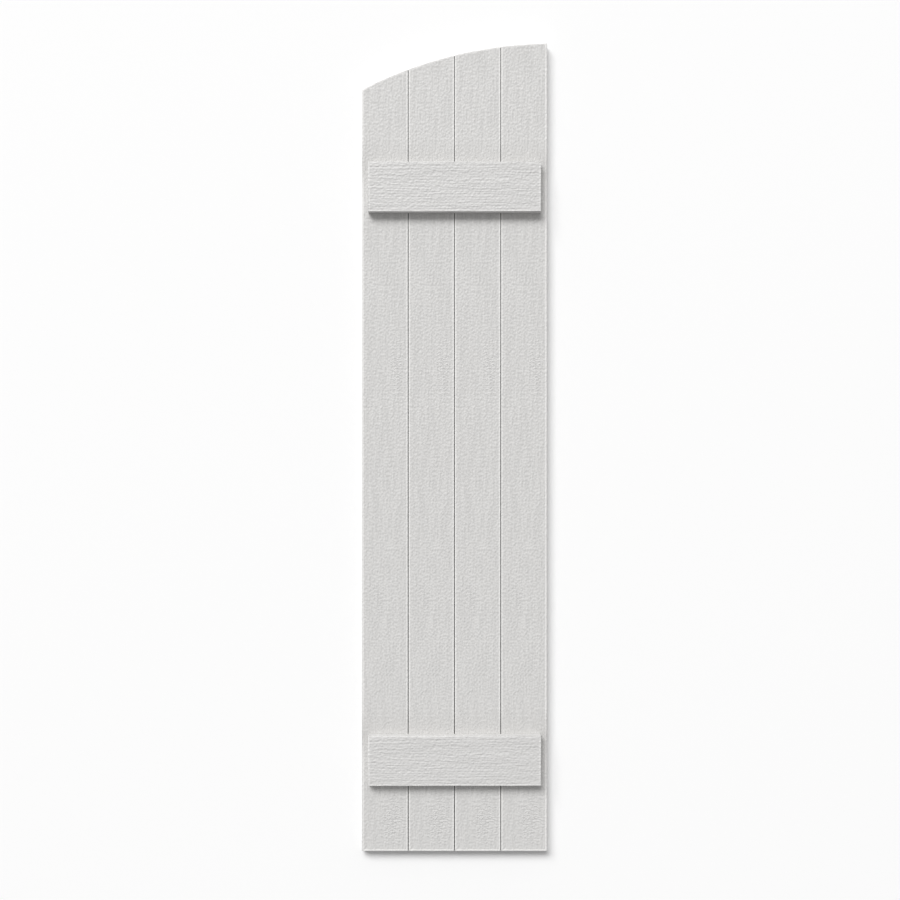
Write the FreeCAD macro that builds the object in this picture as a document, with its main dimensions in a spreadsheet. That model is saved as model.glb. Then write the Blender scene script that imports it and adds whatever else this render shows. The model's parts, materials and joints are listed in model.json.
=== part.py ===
"""Board and batten shutter: four tongued and grooved boards under a half-arch top, held by two face battens.

Millimetres, +Z up. The back lies on the plane Y = 0, against the wall, and the face looks towards -Y.
The origin is on the back, midway across the shutter and midway up its high side.
"""
import FreeCAD
import Part
import Sketcher

import math
import os

# Every size that can be chosen by itself. The high side is the one that meets the other shutter of a pair.
SIZES = {
    "board_count": 4,
    "board_cover": 88.9,
    "board_thickness": 19.05,
    "high_side": 1552.6,
    "low_side": 1463.7,
    "arch_radius": 812.8,
    "perimeter_round": 1.2,
    "joint_reveal": 1.3,
    "joint_arris": 0.5,
    "tongue_length": 6.35,
    "tongue_thickness": 6.35,
    "tongue_play": 0.4,
    "batten_width": 95.25,
    "batten_thickness": 19.05,
    "batten_inset": 12.7,
    "batten_round": 1.5,
    "lower_batten_rise": 130.2,
    "upper_batten_drop": 142.9,
    "saw_allowance": 8.0,
}

# Edges and levels of the finished panel, of the longer and wider blank it is sawn from, and of the joints.
HALF_WIDTH = "Sizes.board_count * Sizes.board_cover / 2"
FOOT = "-Sizes.high_side / 2"
SHOULDER = f"{FOOT} + Sizes.low_side"
CROWN = "Sizes.high_side / 2"
FACE = "-Sizes.board_thickness"
BLANK_HALF_WIDTH = f"({HALF_WIDTH} + Sizes.saw_allowance)"
BLANK_FOOT = f"{FOOT} - Sizes.saw_allowance"
BLANK_TOP = f"{CROWN} + Sizes.saw_allowance"
TONGUE_BACK = "-(Sizes.board_thickness - Sizes.tongue_thickness) / 2"
TONGUE_FRONT = "-(Sizes.board_thickness + Sizes.tongue_thickness) / 2"


def fill_sheet(doc):
    """The sheet of driving sizes that every sketch and feature reads."""
    sheet = doc.addObject("Spreadsheet::Sheet", "Sizes")
    for row, (alias, value) in enumerate(SIZES.items(), start=1):
        sheet.set(f"A{row}", alias)
        sheet.set(f"B{row}", str(value))
        sheet.setAlias(f"B{row}", alias)
    doc.recompute()
    return sheet


def add_sketch(body, role, offset):
    """A sketch on one of the body's own planes, moved along its normal by an expression."""
    plane = next(feature for feature in body.Origin.OriginFeatures if feature.Role == role)
    sketch = body.newObject("Sketcher::SketchObject", f"{body.Name}_sketch")
    sketch.AttachmentSupport = [(plane, "")]
    sketch.MapMode = "FlatFace"
    sketch.setExpression("AttachmentOffset.Base.z", offset)
    return sketch


def place(sketch, x, y):
    """The point of a sketch that two expressions give."""
    return FreeCAD.Vector(sketch.evalExpression(x), sketch.evalExpression(y), 0)


def dimension(sketch, kind, geometry, end, expression):
    """Dimensions one end of a line, or a point, from the sketch's origin."""
    value = sketch.evalExpression(expression)
    index = sketch.addConstraint(Sketcher.Constraint(kind, -1, 1, geometry, end, value))
    sketch.setExpression(f"Constraints[{index}]", expression)


def draw_outline(sketch, corners):
    """A closed outline of straight lines, each corner a pair of expressions for its place in the sketch."""
    points = [place(sketch, x, y) for x, y in corners]
    count = len(points)
    for line in range(count):
        sketch.addGeometry(Part.LineSegment(points[line], points[(line + 1) % count]))
    for line in range(count):
        sketch.addConstraint(Sketcher.Constraint("Coincident", line, 2, (line + 1) % count, 1))
    for line in range(count):
        before = corners[line - 1] if line else (None, None)
        for axis, kind, level in ((0, "DistanceX", "Vertical"), (1, "DistanceY", "Horizontal")):
            if corners[line][axis] == before[axis]:
                sketch.addConstraint(Sketcher.Constraint(level, line - 1))
            else:
                dimension(sketch, kind, line, 1, corners[line][axis])


def draw_arch(sketch):
    """The blank sawn to the arch: one arc through the tops of both finished sides, run on to the blank's."""
    radius = sketch.evalExpression("Sizes.arch_radius")
    high_top = place(sketch, HALF_WIDTH, CROWN)
    low_foot = place(sketch, f"-{BLANK_HALF_WIDTH}", BLANK_FOOT)
    high_foot = place(sketch, BLANK_HALF_WIDTH, BLANK_FOOT)
    sweep = math.asin((high_foot.x - low_foot.x) / radius)
    circle = Part.Circle(high_top - FreeCAD.Vector(0, radius, 0), FreeCAD.Vector(0, 0, 1), radius)
    arc = sketch.addGeometry(Part.ArcOfCircle(circle, math.pi / 2, math.pi / 2 + sweep))
    low_line = sketch.addGeometry(Part.LineSegment(FreeCAD.Vector(low_foot.x, high_top.y, 0), low_foot))
    base = sketch.addGeometry(Part.LineSegment(low_foot, high_foot))
    high_line = sketch.addGeometry(Part.LineSegment(high_foot, FreeCAD.Vector(high_foot.x, high_top.y, 0)))
    for first, second in ((arc, low_line), (low_line, base), (base, high_line), (high_line, arc)):
        sketch.addConstraint(Sketcher.Constraint("Coincident", first, 2, second, 1))
    sketch.addConstraint(Sketcher.Constraint("Vertical", low_line))
    sketch.addConstraint(Sketcher.Constraint("Horizontal", base))
    sketch.addConstraint(Sketcher.Constraint("Vertical", high_line))
    dimension(sketch, "DistanceX", base, 1, f"-{BLANK_HALF_WIDTH}")
    dimension(sketch, "DistanceX", base, 2, BLANK_HALF_WIDTH)
    dimension(sketch, "DistanceY", base, 1, BLANK_FOOT)
    index = sketch.addConstraint(Sketcher.Constraint("Radius", arc, radius))
    sketch.setExpression(f"Constraints[{index}]", "Sizes.arch_radius")
    for side, top in ((f"-({HALF_WIDTH})", SHOULDER), (HALF_WIDTH, CROWN)):
        mark = sketch.addGeometry(Part.Point(place(sketch, side, top)), True)
        dimension(sketch, "DistanceX", mark, 1, side)
        dimension(sketch, "DistanceY", mark, 1, top)
        sketch.addConstraint(Sketcher.Constraint("PointOnObject", mark, 1, arc))


def pad(body, sketch, length):
    """Raises a sketch into a solid."""
    feature = body.newObject("PartDesign::Pad", f"{body.Name}_pad")
    feature.Profile = sketch
    feature.setExpression("Length", length)
    body.Document.recompute()
    return feature


def face_edges(shape):
    """The names of the edges around a solid's face, the side towards -Y, each with its kind of curve."""
    level = min(edge.CenterOfMass.y for edge in shape.Edges)
    return {
        f"Edge{number}": edge.Curve.TypeId
        for number, edge in enumerate(shape.Edges, start=1)
        if math.isclose(edge.CenterOfMass.y, level)
    }


def round_edges(body, feature, edges, radius):
    """Rounds the named edges of a feature."""
    rounding = body.newObject("PartDesign::Fillet", f"{body.Name}_round")
    rounding.Base = (feature, list(edges))
    rounding.setExpression("Radius", radius)
    body.Document.recompute()


def make_side_cut(doc):
    """What is left once the panel's sides and foot are sawn square and routed round at the face."""
    body = doc.addObject("PartDesign::Body", "side_cut")
    sketch = add_sketch(body, "XZ_Plane", "0")
    draw_outline(sketch, [
        (f"-({HALF_WIDTH})", FOOT),
        (HALF_WIDTH, FOOT),
        (HALF_WIDTH, BLANK_TOP),
        (f"-({HALF_WIDTH})", BLANK_TOP),
    ])
    slab = pad(body, sketch, "Sizes.board_thickness")
    round_edges(body, slab, face_edges(slab.Shape), "Sizes.perimeter_round")
    return body


def make_arch_cut(doc):
    """What is left once the panel's top is sawn to the arch and routed round at the face."""
    body = doc.addObject("PartDesign::Body", "arch_cut")
    sketch = add_sketch(body, "XZ_Plane", "0")
    draw_arch(sketch)
    slab = pad(body, sketch, "Sizes.board_thickness")
    arcs = [name for name, curve in face_edges(slab.Shape).items() if curve == "Part::GeomCircle"]
    round_edges(body, slab, arcs, "Sizes.perimeter_round")
    return body


def grooved_edge(joint):
    """The left edge of a board, from its back to its face: the back lip, the groove and the front lip."""
    groove_back = f"{TONGUE_BACK} + Sizes.tongue_play"
    groove_front = f"{TONGUE_FRONT} - Sizes.tongue_play"
    groove_floor = f"{joint} + Sizes.tongue_length + Sizes.tongue_play"
    lip = f"{joint} + Sizes.joint_reveal / 2"
    return [
        (joint, "0"),
        (joint, groove_back),
        (groove_floor, groove_back),
        (groove_floor, groove_front),
        (lip, groove_front),
        (lip, f"{FACE} + Sizes.joint_arris"),
        (f"{lip} + Sizes.joint_arris", FACE),
    ]


def tongued_edge(joint):
    """The right edge of a board, from its face to its back: the front shoulder, the tongue and the back one."""
    shoulder = f"{joint} - Sizes.joint_reveal / 2"
    tip = f"{joint} + Sizes.tongue_length"
    return [
        (f"{shoulder} - Sizes.joint_arris", FACE),
        (shoulder, f"{FACE} + Sizes.joint_arris"),
        (shoulder, TONGUE_FRONT),
        (tip, TONGUE_FRONT),
        (tip, TONGUE_BACK),
        (joint, TONGUE_BACK),
        (joint, "0"),
    ]


def make_board(doc, index, count, cuts):
    """One board: a strip milled with its joints, cut with the others once they are clamped up as a panel."""
    left = f"Sizes.board_cover * {index} - {HALF_WIDTH}"
    right = f"Sizes.board_cover * {index + 1} - {HALF_WIDTH}"
    plain_left = [(f"-{BLANK_HALF_WIDTH}", "0"), (f"-{BLANK_HALF_WIDTH}", FACE)]
    plain_right = [(BLANK_HALF_WIDTH, FACE), (BLANK_HALF_WIDTH, "0")]
    left_edge = grooved_edge(left) if index else plain_left
    right_edge = tongued_edge(right) if index + 1 < count else plain_right
    strip = doc.addObject("PartDesign::Body", f"strip_{index + 1}")
    sketch = add_sketch(strip, "XY_Plane", BLANK_FOOT)
    draw_outline(sketch, left_edge + right_edge)
    pad(strip, sketch, f"{BLANK_TOP} - ({BLANK_FOOT})")
    board = doc.addObject("Part::MultiCommon", f"board_{index + 1}")
    board.Label = f"board_{index + 1}"
    board.Shapes = [strip, *cuts]
    return board


def make_batten(doc, label, lower_edge):
    """One batten: a flat bar laid across the boards, its face edges rounded over."""
    batten = doc.addObject("PartDesign::Body", label)
    batten.Label = label
    half_length = f"({HALF_WIDTH} - Sizes.batten_inset)"
    upper_edge = f"{lower_edge} + Sizes.batten_width"
    sketch = add_sketch(batten, "XZ_Plane", "Sizes.board_thickness")
    draw_outline(sketch, [
        (f"-{half_length}", lower_edge),
        (half_length, lower_edge),
        (half_length, upper_edge),
        (f"-{half_length}", upper_edge),
    ])
    bar = pad(batten, sketch, "Sizes.batten_thickness")
    round_edges(batten, bar, face_edges(bar.Shape), "Sizes.batten_round")
    return batten


def write_parts(doc, nodes):
    """Writes one file for each piece, once every feature has come out sound."""
    doc.recompute()
    broken = [item.Name for item in doc.Objects if {"Invalid", "Error"} & set(item.State)]
    broken += [node.Name for node in nodes if node.Shape.isNull() or not node.Shape.isValid()]
    if broken:
        raise RuntimeError(f"features that failed: {broken}")
    os.makedirs("parts", exist_ok=True)
    for node in nodes:
        node.Shape.exportStep(f"parts/{node.Label}.step")


document = FreeCAD.newDocument("shutter")
sizes = fill_sheet(document)
board_count = int(sizes.board_count)
panel_cuts = [make_side_cut(document), make_arch_cut(document)]
pieces = [make_board(document, index, board_count, panel_cuts) for index in range(board_count)]
pieces.append(make_batten(document, "lower_batten", f"{FOOT} + Sizes.lower_batten_rise"))
pieces.append(make_batten(document, "upper_batten",
                          f"{SHOULDER} - Sizes.upper_batten_drop - Sizes.batten_width"))
write_parts(document, pieces)
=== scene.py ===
import json
import math
import random

import bmesh
import bpy
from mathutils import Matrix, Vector

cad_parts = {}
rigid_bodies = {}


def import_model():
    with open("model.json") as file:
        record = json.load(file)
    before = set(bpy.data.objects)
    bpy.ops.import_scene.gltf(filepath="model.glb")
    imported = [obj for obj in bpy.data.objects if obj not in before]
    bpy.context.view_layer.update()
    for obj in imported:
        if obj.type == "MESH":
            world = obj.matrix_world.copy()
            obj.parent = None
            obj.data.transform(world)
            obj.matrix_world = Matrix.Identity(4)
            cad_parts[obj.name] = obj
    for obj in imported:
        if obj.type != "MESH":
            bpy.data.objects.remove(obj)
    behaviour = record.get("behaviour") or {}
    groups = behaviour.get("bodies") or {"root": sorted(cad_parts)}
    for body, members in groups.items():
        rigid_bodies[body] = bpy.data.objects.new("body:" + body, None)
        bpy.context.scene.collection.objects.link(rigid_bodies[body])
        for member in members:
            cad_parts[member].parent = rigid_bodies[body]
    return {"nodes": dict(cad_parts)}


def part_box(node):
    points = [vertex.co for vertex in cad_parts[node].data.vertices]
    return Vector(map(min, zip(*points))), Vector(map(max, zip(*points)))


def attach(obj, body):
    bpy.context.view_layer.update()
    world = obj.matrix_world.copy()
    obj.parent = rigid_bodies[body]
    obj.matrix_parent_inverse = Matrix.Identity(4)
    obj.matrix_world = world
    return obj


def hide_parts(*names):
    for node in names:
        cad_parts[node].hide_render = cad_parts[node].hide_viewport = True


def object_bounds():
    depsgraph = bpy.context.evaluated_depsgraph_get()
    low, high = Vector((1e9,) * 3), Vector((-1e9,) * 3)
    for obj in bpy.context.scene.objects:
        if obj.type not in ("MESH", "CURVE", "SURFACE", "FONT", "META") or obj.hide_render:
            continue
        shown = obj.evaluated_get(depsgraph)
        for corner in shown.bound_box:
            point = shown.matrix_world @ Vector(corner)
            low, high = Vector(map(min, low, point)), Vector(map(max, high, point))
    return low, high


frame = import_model()
cad_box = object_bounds()


# Boards: four upright strips of softwood, tongued into one another with a fine open line at each joint.
# One plate presses the same raised grain into every face before painting, and the backs are left smooth.
# Each board is drilled and countersunk from behind, twice under each batten, for the screws that hold it.
BOARDS = ("board_1", "board_2", "board_3", "board_4")
BATTENS = ("lower_batten", "upper_batten")
BOARD_COVER = 0.0889
FIRST_BOARD_CENTRE = -0.13335
WELD = 1e-5


def work_on(piece):
    """Makes one piece the only one selected, and the active one."""
    bpy.ops.object.select_all(action="DESELECT")
    piece.select_set(True)
    bpy.context.view_layer.objects.active = piece


def apply_modifiers(piece):
    """Makes every modifier of a piece part of its mesh, in order."""
    work_on(piece)
    for modifier in [modifier.name for modifier in piece.modifiers]:
        bpy.ops.object.modifier_apply(modifier=modifier)


def copy_node(node, name):
    """A welded copy of a CAD node, to be dressed and to stand for it."""
    piece = bpy.data.objects.new(name, frame["nodes"][node].data.copy())
    bpy.context.scene.collection.objects.link(piece)
    piece.data.materials.clear()
    work_on(piece)
    bpy.ops.object.mode_set(mode="EDIT")
    bpy.ops.mesh.select_all(action="SELECT")
    bpy.ops.mesh.remove_doubles(threshold=WELD)
    bpy.ops.object.mode_set(mode="OBJECT")
    return piece


def select_faces(test):
    """Selects those faces of the mesh being edited that pass a test."""
    bpy.ops.mesh.select_mode(type="FACE")
    bpy.ops.mesh.select_all(action="DESELECT")
    mesh = bpy.context.edit_object.data
    for face in [face for face in bmesh.from_edit_mesh(mesh).faces if test(face)]:
        face.select_set(True)
    bmesh.update_edit_mesh(mesh)


PEG_SIDES = 40


def drive_peg(name, x, z, back, head_radius, sink, shank_radius, reach):
    """A countersunk peg driven from behind: a cone for its head, the small end drawn out into a shank."""
    bpy.ops.object.select_all(action="DESELECT")
    bpy.ops.mesh.primitive_cone_add(
        vertices=PEG_SIDES, radius1=head_radius, radius2=shank_radius, depth=sink,
        location=(x, back - sink / 2, z), rotation=(math.pi / 2, 0, 0))
    peg = bpy.context.object
    peg.name = name
    bpy.ops.object.transform_apply(location=True, rotation=True, scale=True)
    bpy.ops.object.mode_set(mode="EDIT")
    small_end = min(vertex.co.y for vertex in peg.data.vertices)
    select_faces(lambda face: all(vertex.co.y < small_end + WELD for vertex in face.verts))
    bpy.ops.mesh.extrude_region_move(TRANSFORM_OT_translate={"value": (0, -reach, 0)})
    bpy.ops.object.mode_set(mode="OBJECT")
    return peg


SCREW_STEP = (0.022, 0.024)


def screw_places(column, node):
    """Where the two screws of one board and one batten go, on a slant so that neither splits the grain."""
    low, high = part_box(node)
    centre_x = FIRST_BOARD_CENTRE + column * BOARD_COVER
    centre_z = (low.z + high.z) / 2
    return [(centre_x + turn * SCREW_STEP[0], centre_z - turn * SCREW_STEP[1]) for turn in (-1, 1)]


HOLE_HEAD_RADIUS = 0.0046
HOLE_SINK = 0.0026
HOLE_BORE_RADIUS = 0.0022
HOLE_BORE_LENGTH = 0.012
HOLE_PROUD = 0.0008
HOLE_FLARE = (HOLE_HEAD_RADIUS - HOLE_BORE_RADIUS) / HOLE_SINK


def countersink(board, column):
    """Drills the screw holes of one board from behind, each mouth cut past the surface to open cleanly."""
    pegs = []
    for node in BATTENS:
        for x, z in screw_places(column, node):
            pegs.append(drive_peg(
                "screw_hole", x, z, HOLE_PROUD, HOLE_HEAD_RADIUS + HOLE_FLARE * HOLE_PROUD,
                HOLE_SINK + HOLE_PROUD, HOLE_BORE_RADIUS, HOLE_BORE_LENGTH))
    for peg in pegs:
        peg.select_set(True)
    bpy.ops.object.join()
    drill = bpy.context.object
    cut = board.modifiers.new("drill", "BOOLEAN")
    cut.object = drill
    cut.solver = "EXACT"
    apply_modifiers(board)
    bpy.data.objects.remove(drill)


LEVEL = 1e-6


def select_rim(test):
    """Selects those open edges of the mesh being edited that pass a test, and gives how many."""
    bpy.ops.mesh.select_mode(type="EDGE")
    bpy.ops.mesh.select_all(action="DESELECT")
    mesh = bpy.context.edit_object.data
    chosen = [edge for edge in bmesh.from_edit_mesh(mesh).edges if edge.is_boundary and test(edge)]
    for edge in chosen:
        edge.select_set(True)
    bmesh.update_edit_mesh(mesh)
    return len(chosen)


def is_upright(edge):
    """Whether an edge runs straight up."""
    return abs(edge.verts[0].co.x - edge.verts[1].co.x) < LEVEL


def regrid_face(piece, columns, rows):
    """Swaps the flat face of a piece for a fine grid in its outline, and groups the grid's inner points."""
    work_on(piece)
    bpy.ops.object.mode_set(mode="EDIT")
    level = min(vertex.co.y for vertex in piece.data.vertices)
    half_height = (min(vertex.co.z for vertex in piece.data.vertices)
                   + max(vertex.co.z for vertex in piece.data.vertices)) / 2

    def at_foot(edge):
        return not is_upright(edge) and max(vertex.co.z for vertex in edge.verts) < half_height

    def at_head(edge):
        return not is_upright(edge) and not at_foot(edge)

    select_faces(lambda face: all(vertex.co.y < level + LEVEL for vertex in face.verts))
    bpy.ops.mesh.delete(type="FACE")
    spans = select_rim(at_head)
    if spans > 1:
        select_rim(at_foot)
        bpy.ops.mesh.subdivide(number_cuts=spans - 1)
    select_rim(lambda edge: not is_upright(edge))
    bpy.ops.mesh.subdivide(number_cuts=columns // spans - 1)
    for count in rows:
        select_rim(is_upright)
        bpy.ops.mesh.subdivide(number_cuts=count - 1)
    select_rim(is_upright)
    bpy.ops.mesh.fill_grid()
    bpy.ops.mesh.select_less()
    piece.vertex_groups.new(name="face")
    bpy.ops.object.vertex_group_assign()
    bpy.ops.object.mode_set(mode="OBJECT")


RING_SCALE = 1.6
RING_TURBULENCE = 9.0


def press_grain(piece, centre, turn, plates):
    """Presses the grain into a gridded face, one plate after another, always inwards."""
    for name, kind, size, depth in plates:
        texture = bpy.data.textures.new(name, kind)
        if kind == "WOOD":
            texture.wood_type = "RINGNOISE"
            texture.noise_basis_2 = "SAW"
            texture.noise_scale = RING_SCALE
            texture.turbulence = RING_TURBULENCE
        else:
            texture.noise_scale = 1.0
            texture.noise_depth = 2
        bpy.ops.object.empty_add(location=centre, rotation=(0, turn, 0))
        plate = bpy.context.object
        plate.scale = size
        bpy.context.view_layer.update()
        press = piece.modifiers.new(name, "DISPLACE")
        press.texture = texture
        press.texture_coords = "OBJECT"
        press.texture_coords_object = plate
        press.direction = "Y"
        press.vertex_group = "face"
        press.mid_level = 0.0
        press.strength = depth
        apply_modifiers(piece)
        bpy.data.objects.remove(plate)


SMOOTH_ANGLE = math.radians(35)
FACE_LEAN = -0.5
SQUARE_ON = 0.9999


def smooth_rounds(piece):
    """Shades the grain and the rounded edges smooth, and the planed sides and back flat."""
    work_on(piece)
    bpy.ops.object.shade_smooth_by_angle(angle=SMOOTH_ANGLE)
    bpy.ops.object.mode_set(mode="EDIT")
    select_faces(lambda face: face.normal.y > FACE_LEAN
                 and max(abs(share) for share in face.normal) > SQUARE_ON)
    bpy.ops.mesh.faces_shade_flat()
    bpy.ops.object.mode_set(mode="OBJECT")


def add_node(tree, kind, inputs, **settings):
    """Adds a shader node. An input is a plain value or the output of another node."""
    made = tree.nodes.new(kind)
    for setting, value in settings.items():
        setattr(made, setting, value)
    for socket, value in inputs.items():
        if isinstance(value, bpy.types.NodeSocket):
            tree.links.new(value, made.inputs[socket])
        else:
            made.inputs[socket].default_value = value
    return made


def remap(tree, value, low, high, to_low, to_high):
    """Stretches a range of a value onto another range, and holds it there."""
    return add_node(tree, "ShaderNodeMapRange", {
        "Value": value, "From Min": low, "From Max": high, "To Min": to_low, "To Max": to_high,
    }).outputs["Result"]


def reckon(tree, operation, *values):
    """One step of arithmetic between values."""
    return add_node(tree, "ShaderNodeMath", dict(enumerate(values)), operation=operation).outputs[0]


def blend(tree, share, first, second):
    """Mixes a second colour into a first."""
    return add_node(tree, "ShaderNodeMix", {
        "Factor": share, 6: first, 7: second}, data_type="RGBA").outputs[2]


def lay_along(tree, place, centre, turn, across, along):
    """Coordinates in fibre widths and fibre lengths, from the middle of a piece."""
    return add_node(tree, "ShaderNodeMapping", {
        "Vector": place, "Location": centre, "Rotation": (0, turn, 0), "Scale": (across, across, along),
    }, vector_type="TEXTURE").outputs["Vector"]


def speckle(tree, vector, detail):
    """Soft noise with one feature for each unit of its coordinates."""
    return add_node(tree, "ShaderNodeTexNoise", {
        "Vector": vector, "Scale": 1.0, "Detail": detail, "Roughness": 0.6,
    }).outputs["Fac"]


def surface_place(tree):
    """Where a point of the surface is, in the frame of the whole shutter."""
    return add_node(tree, "ShaderNodeTexCoord", {}).outputs["Object"]


def split(tree, vector):
    """The X, Y and Z of a vector."""
    return add_node(tree, "ShaderNodeSeparateXYZ", {"Vector": vector}).outputs


def apart(tree, value, mark):
    """How far a value is from a mark, on either side."""
    return reckon(tree, "ABSOLUTE", reckon(tree, "SUBTRACT", value, mark))


ROUND_OVER = (0.0015, 0.003)


def on_face(tree, depth, face):
    """One on the face and its rounded edge, and nothing further back."""
    return remap(tree, depth, face + ROUND_OVER[0], face + ROUND_OVER[1], 1.0, 0.0)


NAP_DETAIL = 0.4
STREAK_DETAIL = 0.6
HAZE_DETAIL = 3.0
SWAY_SCALE = 38.0
SWAY_REACH = (0.006, 0.0, 0.006)
RIPPLE_SIZE = 0.018
RIPPLE_SPAN = (0.55, -0.45)
SIDE_RELIEF = 0.2
# The band along the edges of a face where the painted highlight lies.
HIGHLIGHT_BAND = (0.0044, 0.0030)
# Shares of the paint colour: the painted highlight, the deeper-set parts, the grain and the clouding.
PAINT_SHARES = (1.17, 0.90, 0.80, 0.90)
POOL_DEPTH = 0.0006
POOL_SHARE = 0.5
FLECK_SPAN = (0.38, 0.62)
HAZE_SPAN = (0.35, 0.65)
GRAIN_SPAN = (0.3, 0.7)
SATIN = (0.62, 0.46)


def painted_grain(name, paint, centre, half, turn, face, nap, streak, haze, figures, relief, fleck, highlight):
    """Satin paint on grained wood: greyer in the grain, paler along the face's edges as a painted
    highlight.

    Nap, streak and haze each hold a width, a length and a weight, for short fibres, long fibres and
    clouding. Each figure holds the place, the reach and the weight of a rippled spot."""
    material = bpy.data.materials.new(name)
    material.use_nodes = True
    tree = material.node_tree
    place = surface_place(tree)
    sway = add_node(tree, "ShaderNodeTexNoise", {
        "Vector": place, "Scale": SWAY_SCALE, "Detail": 2.0}).outputs["Color"]
    wavy = add_node(tree, "ShaderNodeVectorMath", {
        0: sway, 1: SWAY_REACH, 2: place}, operation="MULTIPLY_ADD").outputs["Vector"]
    rough = speckle(tree, lay_along(tree, place, centre, turn, *nap[:2]), NAP_DETAIL)
    fibre = speckle(tree, lay_along(tree, wavy, centre, turn, *streak[:2]), STREAK_DETAIL)
    height = reckon(tree, "MULTIPLY_ADD", fibre, streak[2], reckon(tree, "MULTIPLY", rough, nap[2]))
    for spot, reach, weight in figures:
        ripple = add_node(tree, "ShaderNodeTexWave", {
            "Vector": lay_along(tree, place, spot, turn, RIPPLE_SIZE, RIPPLE_SIZE),
            "Scale": 1.0, "Distortion": 13.0, "Detail": 2.0, "Detail Scale": 1.6, "Detail Roughness": 0.6,
        }, wave_type="BANDS", bands_direction="Z").outputs["Fac"]
        near = add_node(tree, "ShaderNodeTexGradient", {
            "Vector": lay_along(tree, place, spot, turn, *reach)}, gradient_type="SPHERICAL").outputs["Fac"]
        ridge = remap(tree, ripple, 0.0, 1.0, *RIPPLE_SPAN)
        height = reckon(tree, "MULTIPLY_ADD", ridge, remap(tree, near, 0.0, 0.5, 0.0, weight), height)
    depth = split(tree, place)["Y"]
    raised = remap(tree, on_face(tree, depth, face), 0.0, 1.0, relief * SIDE_RELIEF, relief)
    bump = add_node(tree, "ShaderNodeBump", {
        "Height": height, "Strength": 1.0, "Distance": raised}).outputs["Normal"]

    offset = split(tree, lay_along(tree, place, centre, turn, 1.0, 1.0))
    # Painted highlight: the paint is made paler along the edges of the face, standing in for light caught
    # there.
    edge_highlight = reckon(tree, "MAXIMUM", *(
        remap(tree, apart(tree, offset[axis], 0.0), reach - HIGHLIGHT_BAND[0], reach - HIGHLIGHT_BAND[1], 0.0, highlight)
        for axis, reach in zip("XZ", half)))
    highlight_paint, deep, grey, dull = [(*(share * channel for channel in paint), 1) for share in PAINT_SHARES]
    pooled = blend(tree, remap(tree, depth, face, face + POOL_DEPTH, 0.0, POOL_SHARE), (*paint, 1), deep)
    low, high = (share * (nap[2] + streak[2]) for share in FLECK_SPAN)
    streaked = blend(tree, remap(tree, height, low, high, fleck, 0.0), pooled, grey)
    cloud = speckle(tree, lay_along(tree, place, centre, turn, *haze[:2]), HAZE_DETAIL)
    hazed = blend(tree, remap(tree, cloud, *HAZE_SPAN, 0.0, haze[2]), streaked, dull)
    highlighted = blend(tree, reckon(tree, "MULTIPLY", edge_highlight, on_face(tree, depth, face)), hazed, highlight_paint)
    shader = tree.nodes["Principled BSDF"]
    tree.links.new(highlighted, shader.inputs["Base Color"])
    tree.links.new(remap(tree, height, *GRAIN_SPAN, *SATIN), shader.inputs["Roughness"])
    tree.links.new(bump, shader.inputs["Normal"])
    shader.inputs["Specular IOR Level"].default_value = 0.4
    return material


def paint_over(material, share, colour):
    """Lays another colour over the paint of a material."""
    tree = material.node_tree
    socket = tree.nodes["Principled BSDF"].inputs["Base Color"]
    tree.links.new(blend(tree, share, socket.links[0].from_socket, colour), socket)


LOW_SIDE = 1.4637
ARCH_RADIUS = 0.8128
ARCH_LOW = Vector((cad_box[0].x, 0.0, cad_box[0].z + LOW_SIDE))
ARCH_HIGH = Vector((cad_box[1].x, 0.0, cad_box[1].z))
ARCH_CHORD = ARCH_HIGH - ARCH_LOW
ARCH_DROP = math.sqrt(ARCH_RADIUS ** 2 - ARCH_CHORD.length_squared / 4)
ARCH_INWARD = Vector((ARCH_CHORD.z, 0.0, -ARCH_CHORD.x)).normalized()
ARCH_CENTRE = ARCH_LOW + ARCH_CHORD / 2 + ARCH_DROP * ARCH_INWARD
# Painted highlight along the arch: paler paint where the top edge would catch the light.
ARCH_HIGHLIGHT = 0.85


def highlight_along_arch(tree, face):
    """How much painted highlight a point of a board takes along the edge of the arch."""
    place = surface_place(tree)
    from_centre = lay_along(tree, place, ARCH_CENTRE, 0.0, 1.0, 1.0)
    spoke = add_node(tree, "ShaderNodeVectorMath", {
        0: from_centre, 1: (1, 0, 1)}, operation="MULTIPLY").outputs["Vector"]
    reach = add_node(tree, "ShaderNodeVectorMath", {0: spoke}, operation="LENGTH").outputs["Value"]
    near_edge = remap(tree, reach, ARCH_RADIUS - HIGHLIGHT_BAND[0], ARCH_RADIUS - HIGHLIGHT_BAND[1], 0.0, 1.0)
    spot = split(tree, place)
    upper_half = remap(tree, spot["Z"], 0.0, 0.1, 0.0, ARCH_HIGHLIGHT)
    at_head = reckon(tree, "MULTIPLY", on_face(tree, spot["Y"], face), upper_half)
    return reckon(tree, "MULTIPLY", at_head, near_edge)


# Painted shade above each batten: darker paint on the board face for a few centimetres above it.
SHADE_ABOVE_REACH = (0.001, 0.048)
SHADE_ABOVE_SHARE = 0.68


def shade_above_battens(tree, face):
    """How much painted shade a point of a board takes in the corner above a batten."""
    spot = split(tree, surface_place(tree))
    corner = reckon(tree, "MAXIMUM", *(
        remap(tree, apart(tree, spot["Z"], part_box(batten)[1].z), *SHADE_ABOVE_REACH, SHADE_ABOVE_SHARE, 0.0)
        for batten in BATTENS))
    return reckon(tree, "MULTIPLY", corner, on_face(tree, spot["Y"], face))


# Painted shade inside the open joints: near-black paint where a joint opens below the face.
JOINT_EDGE = (0.001, 0.0007)
JOINT_DEPTH = (0.0003, 0.0006)
PANEL_EDGE = (0.008, 0.007)


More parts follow.
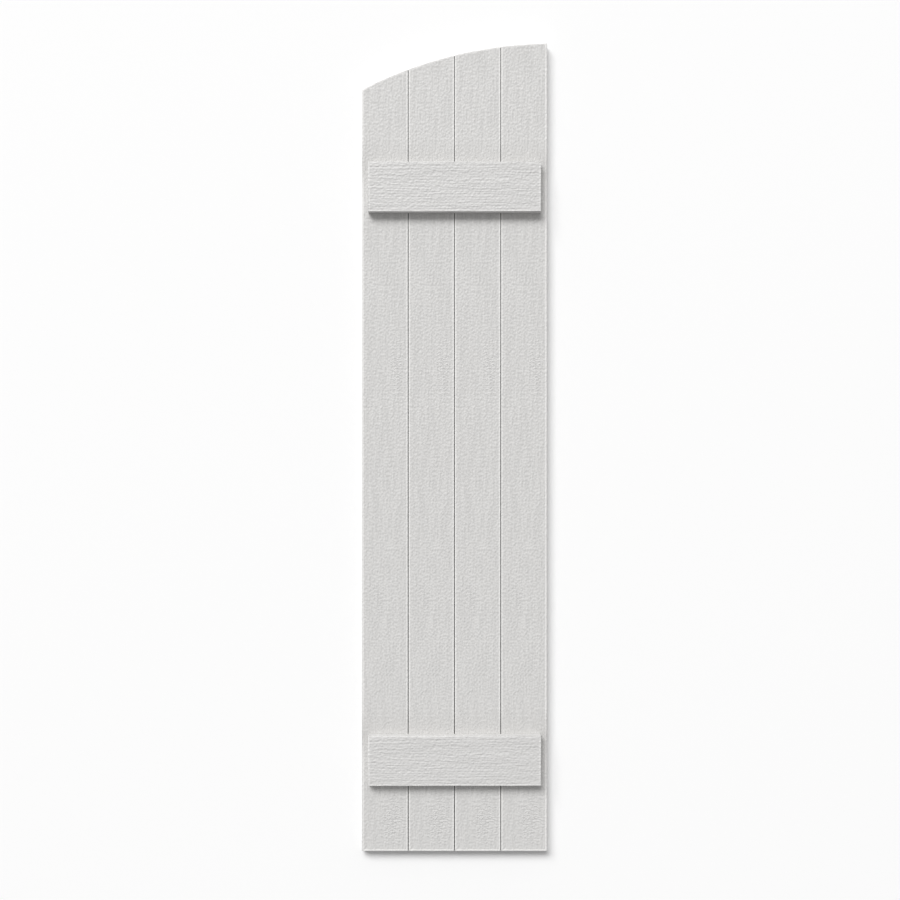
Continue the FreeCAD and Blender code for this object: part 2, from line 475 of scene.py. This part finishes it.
def shade_in_joint(tree, middle, face):
    """How much painted shade a point of a board takes inside an open joint."""
    spot = split(tree, surface_place(tree))
    edge_from, edge_to = (BOARD_COVER / 2 - short for short in JOINT_EDGE)
    edge = remap(tree, apart(tree, spot["X"], middle), edge_from, edge_to, 0.0, 1.0)
    sunk = remap(tree, spot["Y"], face + JOINT_DEPTH[0], face + JOINT_DEPTH[1], 0.0, 1.0)
    side_from, side_to = (cad_box[1].x - short for short in PANEL_EDGE)
    inner = remap(tree, apart(tree, spot["X"], 0.0), side_from, side_to, 1.0, 0.0)
    return reckon(tree, "MULTIPLY", inner, reckon(tree, "MULTIPLY", edge, sunk))


BOARD_COLUMNS = 54
BOARD_ROWS = (24, 30)
BOARD_PLATE_CENTRE = (0.011, 0.15)
BOARD_PLATES = (
    ("rings", "WOOD", (0.018, 1.0, 0.36), 0.00022),
    ("fibres", "CLOUDS", (0.0024, 1.0, 0.05), 0.00015),
    ("nap", "CLOUDS", (0.0032, 1.0, 0.0045), 0.00014),
)
BOARD_PAINT = (0.708, 0.700, 0.688)
BOARD_GRAIN_DEPTH = 0.0259
BOARD_FIGURES = (
    (0.024, 0.155, (0.028, 0.11), 0.36),
    (-0.010, -0.290, (0.026, 0.06), 0.22),
    (0.014, -0.715, (0.040, 0.075), 0.26),
)
# Paints for the painted highlight along the arch, the painted shade above the battens and the painted shade
# inside the joints.
ARCH_HIGHLIGHT_PAINT = (0.82, 0.81, 0.797, 1)
SHADE_ABOVE_PAINT = (0.56, 0.552, 0.54, 1)
JOINT_SHADE_PAINT = (0.05, 0.047, 0.044, 1)

for column, node in enumerate(BOARDS):
    board = copy_node(node, node + "_grained")
    countersink(board, column)
    regrid_face(board, BOARD_COLUMNS, BOARD_ROWS)
    middle = FIRST_BOARD_CENTRE + column * BOARD_COVER
    press_grain(board, (middle + BOARD_PLATE_CENTRE[0], 0.0, BOARD_PLATE_CENTRE[1]), 0.0, BOARD_PLATES)
    smooth_rounds(board)
    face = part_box(node)[0].y
    paint = painted_grain(
        node + "_paint", BOARD_PAINT, (middle, BOARD_GRAIN_DEPTH, 0.0),
        (BOARD_COVER / 2, cad_box[1].z), 0.0, face,
        nap=(0.0037, 0.0046, 0.62), streak=(0.0036, 0.050, 0.40), haze=(0.08, 0.11, 0.4),
        figures=[((middle + across, 0, up), reach, weight) for across, up, reach, weight in BOARD_FIGURES],
        relief=0.0017, fleck=0.66, highlight=0.8)
    # Painted highlight along the arch, painted shade above the battens and painted shade inside the open
    # joints.
    paint_over(paint, highlight_along_arch(paint.node_tree, face), ARCH_HIGHLIGHT_PAINT)
    paint_over(paint, shade_above_battens(paint.node_tree, face), SHADE_ABOVE_PAINT)
    paint_over(paint, shade_in_joint(paint.node_tree, middle, face), JOINT_SHADE_PAINT)
    board.data.materials.append(paint)
    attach(board, "root")
    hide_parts(node)


# Battens: two level bars of the same stock, laid across the boards to hold them flat and in line.
# Their grain runs along them, so across the boards', and it is pressed and painted as theirs is.
# The face edges are rounded over, and no fixing shows because the screws come from behind.
BATTEN_COLUMNS = 120
BATTEN_ROWS = (12, 10)
BATTEN_PLATE_CENTRE = (0.03, 0.012)
BATTEN_PLATES = (
    ("rings", "WOOD", (0.018, 1.0, 0.30), 0.00018),
    ("fibres", "CLOUDS", (0.0022, 1.0, 0.022), 0.00020),
)
BATTEN_PAINT = (0.688, 0.680, 0.670)
LAID_LEVEL = math.pi / 2

for node in BATTENS:
    batten = copy_node(node, node + "_grained")
    regrid_face(batten, BATTEN_COLUMNS, BATTEN_ROWS)
    low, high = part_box(node)
    middle = (low + high) / 2
    plate_centre = (middle.x + BATTEN_PLATE_CENTRE[0], 0.0, middle.z + BATTEN_PLATE_CENTRE[1])
    press_grain(batten, plate_centre, LAID_LEVEL, BATTEN_PLATES)
    smooth_rounds(batten)
    batten.data.materials.append(painted_grain(
        node + "_paint", BATTEN_PAINT, (middle.x, 0.0, middle.z),
        ((high.z - low.z) / 2, (high.x - low.x) / 2), LAID_LEVEL, low.y,
        nap=(0.0036, 0.0042, 0.80), streak=(0.0035, 0.060, 0.6), haze=(0.022, 0.2, 0.8),
        figures=(), relief=0.00144, fleck=0.3, highlight=0.45))
    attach(batten, "root")
    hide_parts(node)


# Screws: zinc-plated countersunk wood screws, driven from behind through each board and into the batten.
# The heads sit just under the surface so that the back lies flat on the wall, and each has a cross recess.
# They stop short of the batten's face.
SCREW_HEAD_RADIUS = 0.0042
SCREW_HEAD_DEPTH = 0.0023
SCREW_SHANK_RADIUS = 0.0019
SCREW_LENGTH = 0.030
SCREW_TIP = 0.003
SCREW_POINT = 0.1
SCREW_SUNK = 0.0003
SCREW_TURN_SEED = 11
RECESS = (0.0046, 0.0034, 0.0011)
RECESS_RIM = 0.00012
SPANGLE = 0.0014
SPANGLE_SPAN = (0.3, 0.7)
ZINC_SHEEN = (0.28, 0.45)
ZINC_LIGHT = (0.66, 0.66, 0.64, 1)
ZINC_DARK = (0.52, 0.52, 0.53, 1)

screw = drive_peg("screw", 0.0, 0.0, -SCREW_SUNK, SCREW_HEAD_RADIUS, SCREW_HEAD_DEPTH,
                  SCREW_SHANK_RADIUS, SCREW_LENGTH - SCREW_HEAD_DEPTH)
bpy.ops.object.mode_set(mode="EDIT")
bpy.ops.mesh.extrude_region_move(TRANSFORM_OT_translate={"value": (0, -SCREW_TIP, 0)})
bpy.ops.transform.resize(value=(SCREW_POINT, 1, SCREW_POINT))
bpy.ops.object.mode_set(mode="OBJECT")
bpy.ops.object.select_all(action="DESELECT")
bpy.ops.mesh.primitive_cube_add(size=1, location=(0, -SCREW_SUNK, 0), scale=RECESS)
first_slot = bpy.context.object
bpy.ops.object.transform_apply(location=True, rotation=True, scale=True)
bpy.ops.mesh.primitive_cube_add(size=1, location=(0, -SCREW_SUNK, 0), scale=RECESS[::-1])
bpy.ops.object.transform_apply(location=True, rotation=True, scale=True)
first_slot.select_set(True)
bpy.ops.object.join()
recess = bpy.context.object
cut = screw.modifiers.new("recess", "BOOLEAN")
cut.object = recess
cut.solver = "EXACT"
cut.use_self = True
rim = screw.modifiers.new("rim", "BEVEL")
rim.width = RECESS_RIM
rim.segments = 2
rim.limit_method = "ANGLE"
apply_modifiers(screw)
bpy.data.objects.remove(recess)
bpy.ops.object.shade_smooth_by_angle(angle=SMOOTH_ANGLE)

zinc = bpy.data.materials.new("screw_zinc")
zinc.use_nodes = True
zinc_tree = zinc.node_tree
zinc_place = lay_along(zinc_tree, surface_place(zinc_tree), (0, 0, 0), 0.0, SPANGLE, SPANGLE)
spangle = speckle(zinc_tree, zinc_place, 3.0)
zinc_shader = zinc_tree.nodes["Principled BSDF"]
zinc_tree.links.new(blend(zinc_tree, spangle, ZINC_LIGHT, ZINC_DARK), zinc_shader.inputs["Base Color"])
zinc_tree.links.new(remap(zinc_tree, spangle, *SPANGLE_SPAN, *ZINC_SHEEN), zinc_shader.inputs["Roughness"])
zinc_shader.inputs["Metallic"].default_value = 1.0
screw.data.materials.append(zinc)

turns = random.Random(SCREW_TURN_SEED)
for column in range(len(BOARDS)):
    for node in BATTENS:
        for number, (x, z) in enumerate(screw_places(column, node), start=1):
            driven = bpy.data.objects.new(f"screw_{BOARDS[column]}_{node}_{number}", screw.data.copy())
            bpy.context.scene.collection.objects.link(driven)
            driven.location = (x, 0, z)
            driven.rotation_euler = (0, turns.uniform(0, math.pi), 0)
            work_on(driven)
            bpy.ops.object.transform_apply(location=True, rotation=True, scale=True)
            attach(driven, "root")
bpy.data.objects.remove(screw)


# Stage: a white wall that the shutter lies flat against, and a pale floor below it.
# The wall looks white, but sends less light back onto the shutter, as a wall further off would.
# Seen from behind it is clear, so that the back of the shutter shows.
WALL_SIZE = 9
WALL_GAP = 0.0006
WALL_WHITE = (0.99, 0.99, 0.99, 1)
WALL_BOUNCE = (0.5, 0.5, 0.5, 1)
FLOOR_SIZE = 14
FLOOR_LEVEL = -1.3
FLOOR_PALE = (0.86, 0.86, 0.85, 1)


def seen_directly(tree):
    """One for what is seen, straight or in a mirror or through glass, and nothing for other light."""
    paths = add_node(tree, "ShaderNodeLightPath", {}).outputs
    mirrored = reckon(tree, "MAXIMUM", paths["Is Camera Ray"], paths["Is Glossy Ray"])
    return reckon(tree, "MAXIMUM", mirrored, paths["Is Transmission Ray"])


wall_paint = bpy.data.materials.new("wall_white")
wall_paint.use_nodes = True
wall_tree = wall_paint.node_tree
wall_shader = wall_tree.nodes["Principled BSDF"]
wall_colour = blend(wall_tree, seen_directly(wall_tree), WALL_BOUNCE, WALL_WHITE)
wall_tree.links.new(wall_colour, wall_shader.inputs["Base Color"])
wall_shader.inputs["Roughness"].default_value = 0.9
wall_shader.inputs["Specular IOR Level"].default_value = 0.0
wall_sides = add_node(wall_tree, "ShaderNodeMixShader", {
    0: add_node(wall_tree, "ShaderNodeNewGeometry", {}).outputs["Backfacing"],
    1: wall_shader.outputs["BSDF"],
    2: add_node(wall_tree, "ShaderNodeBsdfTransparent", {}).outputs["BSDF"],
})
wall_tree.links.new(wall_sides.outputs["Shader"], wall_tree.nodes["Material Output"].inputs["Surface"])
bpy.ops.object.select_all(action="DESELECT")
bpy.ops.mesh.primitive_plane_add(size=WALL_SIZE, location=(0, WALL_GAP, 0), rotation=(math.pi / 2, 0, 0))
wall = bpy.context.object
wall.name = "wall"
bpy.ops.object.transform_apply(location=True, rotation=True, scale=True)
wall.data.materials.append(wall_paint)
wall.visible_shadow = False
wall.visible_glossy = False

floor_paint = bpy.data.materials.new("floor_pale")
floor_paint.use_nodes = True
floor_shader = floor_paint.node_tree.nodes["Principled BSDF"]
floor_shader.inputs["Base Color"].default_value = FLOOR_PALE
floor_shader.inputs["Roughness"].default_value = 0.8
bpy.ops.object.select_all(action="DESELECT")
bpy.ops.mesh.primitive_plane_add(size=FLOOR_SIZE, location=(0, 0, FLOOR_LEVEL))
floor = bpy.context.object
floor.name = "floor"
bpy.ops.object.transform_apply(location=True, rotation=True, scale=True)
floor.data.materials.append(floor_paint)
floor.visible_diffuse = False
floor.visible_glossy = False
floor.visible_shadow = False


# Light: one broad soft lamp high in front and a little to the left, and another behind for the back.
# The surround is white and brighter above than below, as in a studio with a lit ceiling.
LAMP_REACH = 100.0
HORIZON = (-0.2, 0.2)
SIDE_GLOW = (0.29, 0.39)
CEILING_GLOW = 0.2


def hang_lamp(name, from_side, size, power):
    """A broad flat lamp far off, facing the middle of the shutter."""
    bpy.ops.object.light_add(type="AREA")
    lamp = bpy.context.object
    lamp.name = name
    lamp.location = Vector(from_side).normalized() * LAMP_REACH
    lamp.rotation_euler = (-lamp.location).to_track_quat("-Z", "Y").to_euler()
    lamp.data.shape = "RECTANGLE"
    lamp.data.size, lamp.data.size_y = size
    lamp.data.energy = power
    lamp.visible_camera = False


hang_lamp("key_light", from_side=(-0.42, -1.0, 0.91), size=(72.0, 42.0), power=94000.0)
hang_lamp("back_light", from_side=(0.4, 1.0, 0.9), size=(92.0, 42.0), power=80000.0)

world = bpy.data.worlds.new("surround")
bpy.context.scene.world = world
world.use_nodes = True
surround = world.node_tree
rise = split(surround, add_node(surround, "ShaderNodeTexCoord", {}).outputs["Generated"])["Z"]
sides = remap(surround, rise, *HORIZON, *SIDE_GLOW)
ceiling = remap(surround, rise, 0.0, 1.0, 0.0, CEILING_GLOW)
glow = reckon(surround, "ADD", sides, ceiling)
strength = add_node(surround, "ShaderNodeMix", {
    "Factor": seen_directly(surround), 2: glow, 3: 1.0}, data_type="FLOAT").outputs[0]
sky = surround.nodes["Background"]
sky.inputs["Color"].default_value = (1, 1, 1, 1)
surround.links.new(strength, sky.inputs["Strength"])


# Camera: level and straight at the face, about 2.4 metres off, so that the top side of the lower batten
# and the shadow under the upper one show as they do in the photograph. It is framed as the photograph is.
LENS = 50.0
SENSOR = 36.0
FRAME_HEIGHT = 1.7293
FRAME_CENTRE = (-0.00865, -0.0056)

camera_data = bpy.data.cameras.new("camera")
camera_data.lens = LENS
camera_data.sensor_width = SENSOR
camera = bpy.data.objects.new("camera", camera_data)
bpy.context.scene.collection.objects.link(camera)
camera.location = (FRAME_CENTRE[0], cad_box[0].y / 2 - FRAME_HEIGHT * LENS / SENSOR, FRAME_CENTRE[1])
camera.rotation_euler = (math.pi / 2, 0, 0)
bpy.context.scene.camera = camera
bpy.context.scene.view_settings.view_transform = "Standard"
